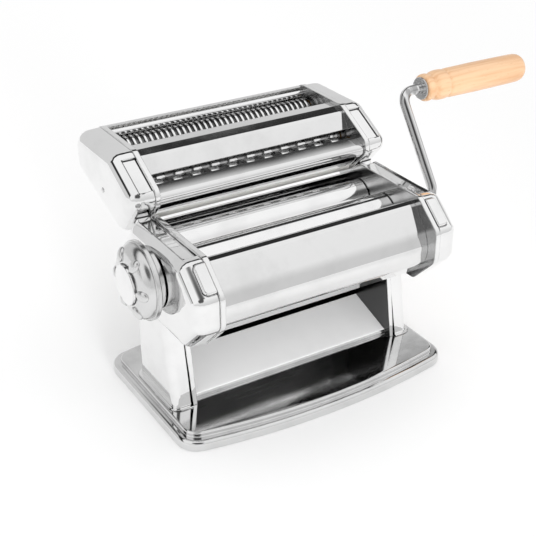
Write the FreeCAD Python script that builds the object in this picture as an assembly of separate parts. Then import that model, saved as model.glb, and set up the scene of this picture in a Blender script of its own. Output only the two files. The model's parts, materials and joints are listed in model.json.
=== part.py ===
import FreeCAD
import Part
import math
import os

Vector = FreeCAD.Vector

# Frame: +X towards the crank, -Y is the front, +Z up, origin under the middle of the base. Millimetres.

# Base pan
base_margin = 9.0
base_depth_mid = 134.0
base_depth_end = 113.0
base_corner_r = 15.0
base_height = 10.0
base_skirt = 6.6
base_step = 5.0
base_wall = 1.2
base_hem = 5.0
base_edge_r = 2.6

# Legs and chute
leg_height = 56.5
leg_depth = 12.0
leg_wall = 1.2
leg_foot = 2.4
leg_foot_t = 1.0
leg_corner_r = 5.0
leg_front_low = -26.0
leg_front_high = -15.5
leg_back_low = 25.0
leg_back_high = 23.5
chute_sheet = 1.0
chute_start_y = -21.0
chute_end_y = 14.5
chute_riser = 2.9
chute_slope = 18.0
chute_bend_r = 1.5
rear_panel_inset = 2.0
foot_inset = 8.0
foot_ys = (2.0, 14.0)
foot_hole_r = 2.0
foot_head_r = 3.6
foot_head_t = 1.8
foot_shank_over = 1.5
foot_tab = 16.0
foot_tab_t = 2.0
foot_tab_margin = 6.0

# Side plates and covers
inner_half = 75.0
plate_t = 3.5
plate_margin = -0.5
hood_inset = 0.6
sheet_gap = 0.3
cover_depth = 16.0
cover_wall = 1.2
cover_draft = 0.2
cover_edge_r = 9.0
cover_edge_steps = 5
inner_edge_steps = 2
corner_least = 3.0
plate_corner_least = 0.6
plate_lap = 6.0
pocket_depth = 1.7
pocket_width = 9.0
pocket_start = 5.0
pocket_lower = 8.0
pocket_reach = 9.0
corner_run = 6.0
recess_end = 6.0
tab_width = 8.0
tab_rise = 1.6
tab_sink = 0.6
tab_start = 2.5
tab_end = 4.0
tab_corner_r = 3.0
cover_hole_gap = 2.0
knob_hole_r = 9.0
tie_rod_r = 4.0
tie_spigot_r = 2.5
tie_head_r = 4.2
tie_head_t = 1.5
front_ties = [(-31.5, -16.0), (-20.5, -23.0)]
rear_tie = (18.1, -18.0)
over = 1.0

# Head outline, seen from the side
head_height = 56.5
head_front_y = -65.5
head_rear_y = 50.0
head_top_front_y = -46.0
head_top_rear_y = 18.0
head_bottom_front_y = -46.0
head_bottom_rear_y = 31.0
head_front_high = 40.0
head_front_low = 19.5
facet_angle = 49.0
head_radii = [5, 5, 9, 5, 6, 8, 9]
hood_path = [(-27.5, 45.0), (-38.0, 52.4), (-43.8, 51.5), (-56.0, 36.5), (-59.5, 25.5), (-56.5, 15.5),
             (-42.0, 2.0)]
hood_bends = [0, 2, 3.5, 14, 12, 9, 0]
rear_plate_start = 7.0
rear_plate_lip = 0.5

# Rollers and their bearings
roller_drop = 33.5
roller_r = 13.0
roller_play = 0.5
front_roller_y = -12.5
gap_open = 2.4
gap_travel = 2.0
journal_r = 6.0
running_gap = 0.05
fit_gap = 0.02
bush_wall = 2.0
bush_flange = 1.0
bush_flange_t = 1.5

# Sliding blocks of the rear roller
block_front = 9.0
block_rear = 23.5
block_low = 13.0
block_high = 9.0
block_flange_t = 1.5
block_play = 0.15
block_notch = 6.5
block_top = 9.0
block_pin_wall = 1.0
tie_bar_y = 18.0
tie_bar_drop = 8.0
tie_bar_r = 3.0
blade_t = 0.8
blade_gap = 0.4
scraper_touch = 238.0
scraper_tail = 4.0

# Gears
gear_teeth = 12
gear_width = 5.0
gear_clear = 0.5
tooth_tip = 0.75
tooth_root = 1.0
gear_backlash = 0.35
pressure_angle = 25.0
flank_steps = 3
cutter_teeth = 10
cutter_gear_width = 5.0

# Thickness knob and its spiral cam
settings_step = 45.0
settings = 6
cam_radius = 15.0
cam_rim = 4.0
cam_t = 3.0
cam_pin_r = 2.0
cam_pin_over = 0.5
cam_gap = 1.5
cam_slot_play = 0.15
slot_steps = 24
spindle_r = 5.0
bracket_t = 2.5
bracket_post_r = 3.0
bracket_gap = 1.0
bracket_clear = 1.2
bracket_margin = 5.5
bracket_hub = 8.0
bracket_corner_r = 4.0
knob_r = 24.5
knob_skirt = 3.4
knob_dome = 11.0
knob_face_r = 13.0
knob_gap = 0.8
knob_collar_r = 19.0
knob_collar = 4.5
knob_lip = 1.5
dome_mid_rise = 0.62
dome_mid_inset = 4.6
knob_cap_t = 2.0
knob_cap_inset = 0.6
knob_pads = 6
knob_pad_r = 4.4
knob_pad_inner = 15.5
knob_pad_outer = 19.4
knob_pad_rise = 0.74

# Crank and handle
rod_r = 3.5
socket_depth = 15.0
socket_end_gap = 1.0
shaft_end_gap = 2.0
crank_arm_x = 118.0
crank_length = 75.0
crank_lean = 35.5
crank_bend_r = 9.0
pin_r = 1.25
notch_play = 0.15
handle_x = 136.0
handle_length = 89.0
handle_face = [(0.0, 0.0), (0.0, 8.6), (0.8, 9.4)]
handle_neck = [(0.8, 9.4), (3.0, 9.4), (4.6, 8.9), (6.4, 8.3), (8.4, 8.9), (10.8, 9.8), (14.0, 10.05),
               (18.0, 10.1)]
handle_ring = [(18.0, 10.1), (18.7, 9.75), (19.4, 10.05)]
handle_mid_r = 10.4
handle_end = [(5.0, 10.1), (1.4, 8.4), (0.0, 4.8)]
handle_bore_depth = 62.0
washer_t = 1.5
washer_r = 7.8
washer_gap = 0.3

# Cutter unit, placed from the seat on the rear facet of the head
cutter_radii = [7, 12, 11, 9, 8]
seat_gap = 1.7
seat_slide = 22.5
seat_pocket = 8.5
lug_length = 5.5
lug_root = 0.8
chamfer_length = 41.4
cutter_top = 50.0
cutter_top_front = 7.5
cutter_rear = 63.5
cutter_rise = 22.0
pair_distance = 16.5
cutter_r = 8.7
groove_r = 6.8
cutter_journal_r = 5.0
wide_y = -4.5
wide_z = 23.9
wide_tilt = 8.0
fine_y = 30.5
fine_z = 34.1
fine_strip = 2.0
wide_strip = 6.5
disc_margin = 3.0
strip_play = 0.3
comb_reach = 5.0
comb_bar = 2.0
comb_spread = 14.0
comb_gap = 0.7
# Degrees from straight down, towards the back
comb_angles = {"fine_front": -15, "fine_rear": 30, "wide_front": 5, "wide_rear": 40}
cutter_sheet = 1.0
cutter_tie_r = 2.4
cutter_spigot_r = 1.8
divider_tie = (7.5, 15.5)
back_tie = (7.8, 10.2)
apron_path = [(-12.0, 33.4), (-21.8, 30.3)]
apron_reach = [8.0, 22.0]
apron_bends = [0, 2.5, 4, 0]
back_plate_low = 6.0
back_plate_lip = 8.0
back_plate_bend = 5.0
back_plate_fall = 0.6
divider_path = [(24.0, 45.6), (21.0, 47.9), (12.8, 47.9), (4.3, 46.5), (-2.8, 36.5)]
divider_bends = [0, 1.5, 2, 3, 0]
lug_play = 0.4

# Worked out from the sizes above
head_bottom = base_height + leg_height
head_top = head_bottom + head_height
roller_z = head_bottom + roller_drop
rear_roller_y = front_roller_y + 2 * roller_r + gap_open
rim_x = inner_half + plate_t
leg_outer_x = rim_x + leg_depth
base_width = 2 * (leg_outer_x + base_margin)
foot_x = inner_half - foot_inset
rear_panel_y = leg_back_high - rear_panel_inset
crank_hole_r = journal_r + cover_hole_gap
gear_x = rim_x + block_flange_t + block_play + gear_clear
cam_x = rim_x + block_flange_t + block_play + cam_gap
cam_pin_y = front_roller_y + cam_radius
face_x = rim_x + cover_depth
shaft_end_x = face_x - cover_wall - shaft_end_gap
facet = math.radians(facet_angle)
along = (math.cos(facet), -math.sin(facet))
outward = (math.sin(facet), math.cos(facet))
cut_y = head_top_rear_y + seat_slide * along[0] + seat_gap * outward[0]
cut_z = head_top + seat_slide * along[1] + seat_gap * outward[1]
lean = math.radians(crank_lean)
handle_y = front_roller_y + crank_length * math.sin(lean)
handle_z = roller_z + crank_length * math.cos(lean)
cam_travel = math.radians(settings_step * (settings - 1))
wide_front = (cut_y + wide_y, cut_z + wide_z)
tilt = math.radians(wide_tilt)
wide_rear = (wide_front[0] + pair_distance * math.cos(tilt), wide_front[1] + pair_distance * math.sin(tilt))
fine_front = (cut_y + fine_y, cut_z + fine_z)
fine_rear = (fine_front[0] + pair_distance, fine_front[1])
fine_discs = int((inner_half - disc_margin) / fine_strip)
wide_discs = int((inner_half - disc_margin) / wide_strip)

solids = {}


# Plane outlines in (y, z)

def unit(a, b):
    length = math.hypot(b[0] - a[0], b[1] - a[1])
    return ((b[0] - a[0]) / length, (b[1] - a[1]) / length)


def inset(points, distance):
    moved = []
    for i, corner in enumerate(points):
        before = unit(points[i - 1], corner)
        after = unit(corner, points[(i + 1) % len(points)])
        turn = 1 + before[0] * after[0] + before[1] * after[1]
        side = (-before[1] - after[1], before[0] + after[0])
        moved.append((corner[0] + distance * side[0] / turn, corner[1] + distance * side[1] / turn))
    return moved


def rounded(points, radii, x, closed=True):
    count = len(points)
    arcs = []
    for i, corner in enumerate(points):
        radius = radii[i]
        if radius <= 0 or (not closed and i in (0, count - 1)):
            arcs.append((corner, None, corner))
            continue
        back = unit(corner, points[i - 1])
        ahead = unit(corner, points[(i + 1) % count])
        half = math.acos(max(-1.0, min(1.0, back[0] * ahead[0] + back[1] * ahead[1]))) / 2
        reach = radius / math.tan(half)
        middle = unit((0, 0), (back[0] + ahead[0], back[1] + ahead[1]))
        depth = radius / math.sin(half) - radius
        first = (corner[0] + reach * back[0], corner[1] + reach * back[1])
        last = (corner[0] + reach * ahead[0], corner[1] + reach * ahead[1])
        arcs.append((first, (corner[0] + depth * middle[0], corner[1] + depth * middle[1]), last))
    edges = []
    spans = count if closed else count - 1
    for i in range(count):
        first, middle, last = arcs[i]
        if middle:
            edges.append(Part.Arc(Vector(x, *first), Vector(x, *middle), Vector(x, *last)).toShape())
        if i < spans:
            following = arcs[(i + 1) % count][0]
            if math.hypot(following[0] - last[0], following[1] - last[1]) > 1e-6:
                edges.append(Part.LineSegment(Vector(x, *last), Vector(x, *following)).toShape())
    return Part.Wire(edges)


def slab(points, radii, x0, x1):
    return Part.Face(rounded(points, radii, x0)).extrude(Vector(x1 - x0, 0, 0))


def sheet(path, bends, thickness, x0, x1):
    # A bent strip of sheet metal: the path is one skin and the other skin lies to its left.
    count = len(path)
    skin = []
    for i, corner in enumerate(path):
        before = unit(path[i - 1], corner) if i else unit(corner, path[1])
        after = unit(corner, path[i + 1]) if i < count - 1 else before
        turn = 1 + before[0] * after[0] + before[1] * after[1]
        side = (-before[1] - after[1], before[0] + after[0])
        skin.append((corner[0] + thickness * side[0] / turn, corner[1] + thickness * side[1] / turn))
    near = [0.0] * count
    far = [0.0] * count
    for i in range(1, count - 1):
        before = unit(path[i - 1], path[i])
        after = unit(path[i], path[i + 1])
        left = before[0] * after[1] - before[1] * after[0] > 0
        near[i] = bends[i] + (thickness if left else 0.0)
        far[i] = bends[i] + (0.0 if left else thickness)
    return slab(path + skin[::-1], near + far[::-1], x0, x1)


# Solids of one kind

def rod_x(x0, x1, centre, radius):
    return Part.makeCylinder(radius, abs(x1 - x0), Vector(min(x0, x1), *centre), Vector(1, 0, 0))


def block(x0, x1, y0, y1, z0, z1):
    return Part.makeBox(x1 - x0, y1 - y0, z1 - z0, Vector(x0, y0, z0))


def turned(profile, centre):
    # A lathe profile of (x, radius) points about an axis along X.
    points = [Vector(x, centre[0] + radius, centre[1]) for x, radius in profile]
    face = Part.Face(Part.makePolygon(points + points[:1]))
    return face.revolve(Vector(0, *centre), Vector(1, 0, 0), 360)


def mirrored(shape):
    return shape.mirror(Vector(0, 0, 0), Vector(1, 0, 0))


def fused(shapes):
    return shapes[0].multiFuse(shapes[1:]).removeSplitter() if len(shapes) > 1 else shapes[0]


def keep(name, *shapes):
    solids[name] = list(shapes)


# Base

def base_outline(offset):
    x = base_width / 2 - offset
    y_end = base_depth_end / 2 - offset
    y_mid = base_depth_mid / 2 - offset
    corners = [Vector(-x, -y_end, 0), Vector(x, -y_end, 0), Vector(x, y_end, 0), Vector(-x, y_end, 0)]
    return Part.Face(Part.Wire([
        Part.Arc(corners[0], Vector(0, -y_mid, 0), corners[1]).toShape(),
        Part.LineSegment(corners[1], corners[2]).toShape(),
        Part.Arc(corners[2], Vector(0, y_mid, 0), corners[3]).toShape(),
        Part.LineSegment(corners[3], corners[0]).toShape()]))


def base_prism(offset, z0, z1, top_r=0.0):
    prism = base_outline(offset).extrude(Vector(0, 0, z1 - z0))
    upright = [e for e in prism.Edges if abs(e.Vertexes[0].Z - e.Vertexes[-1].Z) > 0.5 * (z1 - z0)]
    prism = prism.makeFillet(base_corner_r - offset, upright)
    if top_r:
        rim = [e for e in prism.Edges if all(abs(v.Z - (z1 - z0)) < 1e-6 for v in e.Vertexes)]
        prism = prism.makeFillet(top_r, rim)
    prism.translate(Vector(0, 0, z0))
    return prism


def foot_places():
    return [(side * foot_x, y) for side in (-1, 1) for y in foot_ys]


def make_base():
    skirt = base_prism(0, 0, base_skirt, base_edge_r)
    plateau = base_prism(base_step, base_skirt - base_wall, base_height, base_wall)
    hollow = base_prism(base_wall, base_wall, base_skirt - base_wall)
    upper = base_prism(base_step + base_wall, base_skirt - 2 * base_wall, base_height - base_wall)
    mouth = base_prism(base_wall + base_hem, -base_wall, 2 * base_wall)
    pan = fused([skirt, plateau]).cut(fused([hollow, upper, mouth]))
    for x, y in foot_places():
        pan = pan.cut(Part.makeCylinder(foot_hole_r + fit_gap, base_height, Vector(x, y, over)))
    keep("base_plate", pan)


# Legs, chute and rear panel

def leg_points(top):
    rise = (top - base_height) / leg_height
    return [(leg_front_low, base_height), (leg_back_low, base_height),
            (leg_back_low + rise * (leg_back_high - leg_back_low), top),
            (leg_front_low + rise * (leg_front_high - leg_front_low), top)]


def leg_block(outline, x0, x1, corner_r):
    shape = slab(outline, [0, 0, 0, 0], x0, x1)
    height = shape.BoundBox.ZLength
    corners = [e for e in shape.Edges if all(abs(v.X - x1) < 1e-6 for v in e.Vertexes)
               and abs(e.Vertexes[0].Z - e.Vertexes[-1].Z) > height / 2]
    return shape.makeFillet(corner_r, corners)


def make_legs():
    # Each leg runs up to the rounded underside of its cover and is trimmed to it.
    top = head_bottom + cover_draft + cover_edge_r
    outline = leg_points(top)
    walls = inset(outline, leg_wall)
    walls = [(walls[0][0], base_height - over), (walls[1][0], base_height - over),
             (walls[2][0], top + over), (walls[3][0], top + over)]
    foot = [(leg_front_low - leg_foot, base_height), (leg_back_low + leg_foot, base_height),
            (leg_back_low + leg_foot, base_height + leg_foot_t),
            (leg_front_low - leg_foot, base_height + leg_foot_t)]
    right = fused([leg_block(outline, rim_x, leg_outer_x, leg_corner_r),
                   leg_block(foot, rim_x, leg_outer_x + leg_foot, leg_corner_r + leg_foot)])
    right = right.cut(leg_block(walls, rim_x - over, leg_outer_x - leg_wall, leg_corner_r - leg_wall))
    right = right.cut(drawn(head_points(), head_radii, 0, face_x, cover_edge_r, cover_edge_steps))
    keep("right_leg", right)
    keep("left_leg", mirrored(right))


def make_chute():
    half = inner_half
    slope = math.radians(chute_slope)
    start = (chute_start_y, base_height)
    bend = (chute_start_y, base_height + chute_riser)
    top = (chute_end_y, bend[1] + math.tan(slope) * (chute_end_y - chute_start_y))
    keep("dough_chute", sheet([top, bend, start], [0, chute_bend_r, 0], chute_sheet, -half, half))
    panel = [(rear_panel_y + chute_sheet, base_height), (rear_panel_y + chute_sheet, head_bottom)]
    keep("rear_panel", sheet(panel, [0, 0], chute_sheet, -half, half))


# Head: side plates, covers and hoods

def head_points():
    return [(head_bottom_front_y, head_bottom), (head_bottom_rear_y, head_bottom),
            (head_rear_y, head_top - (head_rear_y - head_top_rear_y) * math.tan(facet)),
            (head_top_rear_y, head_top), (head_top_front_y, head_top),
            (head_front_y, head_bottom + head_front_high), (head_front_y, head_bottom + head_front_low)]


def cutter_points():
    chin = (cut_y - chamfer_length * along[0], cut_z - chamfer_length * along[1])
    return [(cut_y, cut_z), (cut_y + cutter_rear, cut_z + cutter_rise),
            (cut_y + cutter_rear, cut_z + cutter_top), (cut_y + cutter_top_front, cut_z + cutter_top), chin]


def scaled(radii, change):
    return [max(r - change, plate_corner_least) for r in radii]


def drawn(points, radii, shrink, x1, edge_r, steps):
    # Straight drafted wall from the rim, then a rounded edge in equal turns up to the flat face.
    sections = [(rim_x, shrink)]
    for step in range(steps + 1):
        turn = math.pi / 2 * step / steps
        depth = shrink + cover_draft + edge_r * (1 - math.cos(turn))
        sections.append((x1 - edge_r * (1 - math.sin(turn)), depth))
    wires = []
    for x, depth in sections:
        corners = [max(r - depth, corner_least) for r in radii]
        wires.append(rounded(inset(points, depth), corners, x))
    return Part.makeLoft(wires, True, True)


def facet_axes(top, bottom):
    run = unit(top, bottom)
    out = (run[1], -run[0]) if run[0] < 0 else (-run[1], run[0])
    return run, out, math.hypot(bottom[0] - top[0], bottom[1] - top[1])


def facet_tab(top, bottom):
    # A flat tab on the facet beside the rim, with its two outer corners rounded.
    run, out, length = facet_axes(top, bottom)

    def at(x, u):
        return Vector(x, top[0] + u * run[0] - tab_sink * out[0], top[1] + u * run[1] - tab_sink * out[1])

    x1 = rim_x + tab_width
    u1 = length - tab_end
    r = tab_corner_r
    mid = r * (1 - math.sqrt(0.5))
    edge = Part.Wire([
        Part.LineSegment(at(rim_x, tab_start), at(x1 - r, tab_start)).toShape(),
        Part.Arc(at(x1 - r, tab_start), at(x1 - mid, tab_start + mid), at(x1, tab_start + r)).toShape(),
        Part.LineSegment(at(x1, tab_start + r), at(x1, u1 - r)).toShape(),
        Part.Arc(at(x1, u1 - r), at(x1 - mid, u1 - mid), at(x1 - r, u1)).toShape(),
        Part.LineSegment(at(x1 - r, u1), at(rim_x, u1)).toShape(),
        Part.LineSegment(at(rim_x, u1), at(rim_x, tab_start)).toShape()])
    return Part.Face(edge).extrude(Vector(0, *out) * (tab_sink + tab_rise))


def facet_box(top, bottom, x0, x1, start, end, depth, height):
    # A box lying on the facet from top to bottom, sunk by depth and standing out by height.
    run, out, length = facet_axes(top, bottom)
    corners = []
    for u, n in ((start, -depth), (start, height), (length - end, height), (length - end, -depth)):
        corners.append((top[0] + u * run[0] + n * out[0], top[1] + u * run[1] + n * out[1]))
    return Part.Face(Part.makePolygon([Vector(x0, *c) for c in corners + corners[:1]])).extrude(
        Vector(x1 - x0, 0, 0))


def cover(points, radii, pockets):
    outer = drawn(points, radii, 0, face_x, cover_edge_r, cover_edge_steps)
    inner = drawn(points, radii, cover_wall, face_x - cover_wall, cover_edge_r - cover_wall, inner_edge_steps)
    for top, bottom, start, end in pockets:
        x1 = rim_x + pocket_width
        outer = outer.cut(facet_box(top, bottom, rim_x - over, x1, start, end, pocket_depth, pocket_reach))
        inner = inner.cut(facet_box(top, bottom, rim_x - over, x1 + cover_wall, start - cover_wall,
                                    end - cover_wall, pocket_depth + cover_wall, pocket_reach))
    return outer.cut(inner)


def seat_facet():
    corners = head_points()
    return corners[3], corners[2]


def block_points(front):
    y0 = rear_roller_y - front
    y1 = rear_roller_y + block_rear
    z0 = roller_z - block_low
    z1 = roller_z + block_high
    return [(y0, z0), (y1, z0), (y1, roller_z - block_notch), (rear_roller_y + block_top, z1), (y0, z1)]


def plate_holes():
    x0 = inner_half - over
    x1 = rim_x + over
    front = rod_x(x0, x1, (front_roller_y, roller_z), journal_r + running_gap + bush_wall)
    outline = inset(block_points(block_front + gap_travel), -block_play)
    window = slab(outline, [0] * len(outline), x0, x1)
    rods = [rod_x(x0, x1, place, tie_spigot_r + fit_gap) for place in tie_places()]
    return [front, window] + rods


def tie_places():
    places = [(front_roller_y + y, roller_z + z) for y, z in front_ties]
    return places + [(rear_roller_y + rear_tie[0], roller_z + rear_tie[1])]


def tie_rod(place, radius, spigot, head):
    shapes = [rod_x(-inner_half, inner_half, place, radius)]
    for side in (-1, 1):
        shapes.append(rod_x(side * inner_half, side * rim_x, place, spigot))
        shapes.append(rod_x(side * rim_x, side * (rim_x + tie_head_t), place, head))
    return fused(shapes)


def make_plates():
    head = inset(head_points(), plate_margin)
    upper = slab(head, scaled(head_radii, plate_margin), inner_half, rim_x)
    tongue = inset(leg_points(head_bottom), plate_margin)
    lower = [(tongue[0][0], base_height), (tongue[1][0], base_height),
             (tongue[2][0], head_bottom + plate_lap), (tongue[3][0], head_bottom + plate_lap)]
    tab = block(inner_half - foot_tab, inner_half, foot_ys[0] - foot_tab_margin,
                foot_ys[1] + foot_tab_margin, base_height, base_height + foot_tab_t)
    shape = fused([upper, slab(lower, [0, 0, 0, 0], inner_half, rim_x), tab])
    for y in foot_ys:
        below = Vector(foot_x, y, base_height - foot_tab_t)
        shape = shape.cut(Part.makeCylinder(foot_hole_r + fit_gap, 3 * foot_tab_t, below))
    for hole in plate_holes():
        shape = shape.cut(hole)
    keep("right_side_plate", shape)
    keep("left_side_plate", mirrored(shape))
    screws = []
    for x, y in foot_places():
        under = base_height - base_wall
        head_disc = Part.makeCylinder(foot_head_r, foot_head_t, Vector(x, y, under - foot_head_t))
        shank = Part.makeCylinder(foot_hole_r, base_wall + foot_tab_t + foot_shank_over, Vector(x, y, under))
        screws.append(fused([head_disc, shank]))
    keep("foot_screws", *screws)
    keep("tie_rods", *[tie_rod(p, tie_rod_r, tie_spigot_r, tie_head_r) for p in tie_places()])


def face_hole(centre, radius):
    return rod_x(face_x - cover_wall - over, face_x + over, centre, radius)


def make_covers():
    corners = head_points()
    top, bottom = seat_facet()
    seat = (top, bottom, -corner_run, math.hypot(bottom[0] - top[0], bottom[1] - top[1]) - seat_pocket)
    recess = (corners[3], corners[4], -corner_run, recess_end)
    shell = fused([cover(corners, head_radii, [seat, recess]), facet_tab(corners[4], corners[5])])
    axis = (front_roller_y, roller_z)
    keep("right_cover", shell.cut(face_hole(axis, crank_hole_r)))
    keep("left_cover", mirrored(shell.cut(face_hole(axis, knob_hole_r))))


def make_hoods():
    front = [(y, head_bottom + z) for y, z in hood_path]
    keep("front_plate", sheet(front, hood_bends, cutter_sheet, -inner_half, inner_half))
    seat = inset(head_points(), hood_inset)
    rear = [(seat[1][0] + rear_plate_lip, seat[1][1] + rear_plate_lip), seat[2],
            (seat[3][0] + rear_plate_start * along[0], seat[3][1] + rear_plate_start * along[1])]
    keep("rear_plate", sheet(rear, [0, head_radii[2], 0], cutter_sheet, -inner_half, inner_half))


# Rollers, gears and slide

def gear(teeth, distance, width, x0, centre, bore, phase):
    pitch_r = distance / 2
    module = distance / teeth
    base_r = pitch_r * math.cos(math.radians(pressure_angle))
    tip_r = pitch_r + tooth_tip * module
    root_r = pitch_r - tooth_root * module
    half = math.pi / (2 * teeth) - gear_backlash / (2 * pitch_r)
    alpha = math.radians(pressure_angle)
    rise = half + math.tan(alpha) - alpha
    flank = []
    for step in range(flank_steps + 1):
        radius = base_r + (tip_r - base_r) * step / flank_steps
        angle = math.acos(min(1.0, base_r / radius))
        flank.append((radius, rise - math.tan(angle) + angle))
    points = []
    for tooth in range(teeth):
        middle = phase + 2 * math.pi * tooth / teeth
        side = [(root_r, flank[0][1])] + flank
        for radius, turn in side:
            points.append((radius, middle - turn))
        for radius, turn in side[::-1]:
            points.append((radius, middle + turn))
    ring = [Vector(x0, centre[0] + r * math.cos(a), centre[1] + r * math.sin(a)) for r, a in points]
    blank = Part.Face(Part.makePolygon(ring + ring[:1])).extrude(Vector(width, 0, 0))
    return blank.cut(rod_x(x0 - over, x0 + width + over, centre, bore))


def socket_cuts(centre, tube_r):
    bore = rod_x(shaft_end_x - socket_depth, shaft_end_x + over, centre, rod_r + running_gap)
    notch = block(shaft_end_x - 2 * pin_r - notch_play, shaft_end_x + over,
                  centre[0] - tube_r - over, centre[0] + tube_r + over,
                  centre[1] - pin_r - notch_play, centre[1] + pin_r + notch_play)
    return bore, notch


def make_rollers():
    half = inner_half - roller_play
    front = (front_roller_y, roller_z)
    shaft = fused([rod_x(-half, half, front, roller_r),
                   rod_x(-rim_x - bush_flange_t, -half, front, journal_r),
                   rod_x(half, shaft_end_x, front, journal_r)])
    for cutting in socket_cuts(front, journal_r):
        shaft = shaft.cut(cutting)
    keep("front_roller", shaft)
    rear = (rear_roller_y, roller_z)
    keep("rear_roller", fused([rod_x(-half, half, rear, roller_r),
                               rod_x(-rim_x - block_flange_t, -half, rear, journal_r),
                               rod_x(half, gear_x + gear_width, rear, journal_r)]))
    mesh = 2 * roller_r + gap_open - gap_travel
    keep("front_roller_gear", gear(gear_teeth, mesh, gear_width, gear_x, front, journal_r + fit_gap, 0.0))
    keep("rear_roller_gear", gear(gear_teeth, mesh, gear_width, gear_x, rear, journal_r + fit_gap,
                                  math.pi + math.pi / gear_teeth))
    keep("front_roller_bushes", *bushes([front], journal_r))


def bushes(centres, shaft_r):
    made = []
    for centre in centres:
        for side in (-1, 1):
            outer_r = shaft_r + running_gap + bush_wall - fit_gap
            ring = rod_x(side * inner_half, side * rim_x, centre, outer_r)
            flange = rod_x(side * rim_x, side * (rim_x + bush_flange_t), centre, outer_r + bush_flange)
            end = rim_x + bush_flange_t + over
            hole = rod_x(side * (inner_half - over), side * end, centre, shaft_r + running_gap)
            made.append(fused([ring, flange]).cut(hole))
    return made


def tie_bar_centre():
    return (rear_roller_y + tie_bar_y, roller_z - tie_bar_drop)


def make_carriage():
    bar = tie_bar_centre()
    inner_x = inner_half + block_play
    flange_x = rim_x + block_play
    reach = flange_x + block_flange_t
    outline = block_points(block_front)
    tongue = slab(outline, [0] * len(outline), inner_x, flange_x)
    outline = block_points(rear_roller_y - cam_pin_y + cam_pin_r + block_pin_wall)
    flange = slab(outline, [0] * len(outline), flange_x, reach)
    shape = fused([tongue, flange])
    shape = shape.cut(rod_x(inner_x - over, reach + over, (rear_roller_y, roller_z), journal_r + running_gap))
    shape = shape.cut(rod_x(inner_x - over, reach + over, bar, tie_bar_r + fit_gap))
    keep("right_slide_block", shape)
    pin = rod_x(reach, cam_x + cam_t + cam_pin_over, (cam_pin_y, roller_z), cam_pin_r)
    keep("left_slide_block", mirrored(fused([shape, pin])))
    keep("carriage_bar", rod_x(-reach, reach, bar, tie_bar_r))


def make_scrapers():
    # The front blade lies on its tie rod: its line is the tangent from the blade's edge to the rod.
    rod = tie_places()[1]
    touch = math.radians(scraper_touch)
    gap = roller_r + blade_gap
    edge = (front_roller_y + gap * math.cos(touch), roller_z + gap * math.sin(touch))
    distance = math.hypot(rod[0] - edge[0], rod[1] - edge[1])
    turn = math.atan2(rod[1] - edge[1], rod[0] - edge[0]) - math.asin(tie_rod_r / distance)
    length = math.sqrt(distance ** 2 - tie_rod_r ** 2) + scraper_tail
    tail = (edge[0] + length * math.cos(turn), edge[1] + length * math.sin(turn))
    keep("front_scraper", sheet([tail, edge], [0, 0], blade_t, -inner_half, inner_half))
    half = inner_half - sheet_gap
    bar = tie_bar_centre()
    level = bar[1] - tie_bar_r - blade_t
    drop = roller_z - level - blade_t
    edge_y = rear_roller_y + math.sqrt(gap * gap - drop * drop)
    blade = [(edge_y, level), (bar[0] + scraper_tail, level)]
    keep("rear_scraper", sheet(blade, [0, 0], blade_t, -half, half))


# Thickness knob

def cam_slot(x0, x1):
    rate = gap_travel / cam_travel
    width = cam_pin_r + cam_slot_play
    sides = [[], []]

    def at(radius, angle):
        return Vector(x0, front_roller_y + radius * math.cos(angle), roller_z + radius * math.sin(angle))

    for i in range(slot_steps + 1):
        angle = -cam_travel * i / slot_steps
        for k, shift in enumerate((width, -width)):
            sides[k].append(at(cam_radius + rate * angle + shift, angle))
    curves = []
    for side in sides:
        curve = Part.BSplineCurve()
        curve.interpolate(side)
        curves.append(curve)
    ends = []
    for i, forward in ((0, 1), (slot_steps, -1)):
        angle = -cam_travel * i / slot_steps
        tangent = Vector(0, -math.sin(angle), math.cos(angle)) * (forward * width)
        tip = at(cam_radius + rate * angle, angle) + tangent
        ends.append(Part.Arc(sides[0][i], tip, sides[1][i]).toShape())
    wire = Part.Wire(Part.__sortEdges__([curves[0].toShape(), ends[1], curves[1].toShape(), ends[0]]))
    return Part.Face(wire).extrude(Vector(x1 - x0, 0, 0))


def make_knob_cam(axis, knob_x):
    disc_r = cam_radius + cam_pin_r + cam_slot_play + cam_rim - gap_travel
    bracket_x = cam_x + cam_t + bracket_gap
    disc = rod_x(-cam_x, -cam_x - cam_t, axis, disc_r).cut(cam_slot(-cam_x - cam_t - over, -cam_x + over))
    spindle = rod_x(-cam_x - cam_t, -knob_x - knob_dome, axis, spindle_r)
    keep("knob_cam", fused([disc, spindle]))
    away = disc_r + bracket_post_r + bracket_clear
    posts = [(axis[0] - away, axis[1]), (axis[0], axis[1] - away)]
    front_y = posts[0][0] - bracket_margin
    low_z = posts[1][1] - bracket_margin
    plate = [(front_y, axis[1] - bracket_hub), (axis[0] - bracket_hub, low_z), (axis[0] + bracket_hub, low_z),
             (axis[0] + bracket_hub, axis[1] + bracket_hub), (front_y, axis[1] + bracket_hub)]
    body = slab(plate, [bracket_corner_r] * len(plate), -bracket_x - bracket_t, -bracket_x)
    shapes = [body] + [rod_x(-rim_x, -bracket_x, p, bracket_post_r) for p in posts]
    hole = rod_x(-bracket_x - bracket_t - over, -bracket_x + over, axis, spindle_r + running_gap)
    keep("knob_bracket", fused(shapes).cut(hole))


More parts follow.
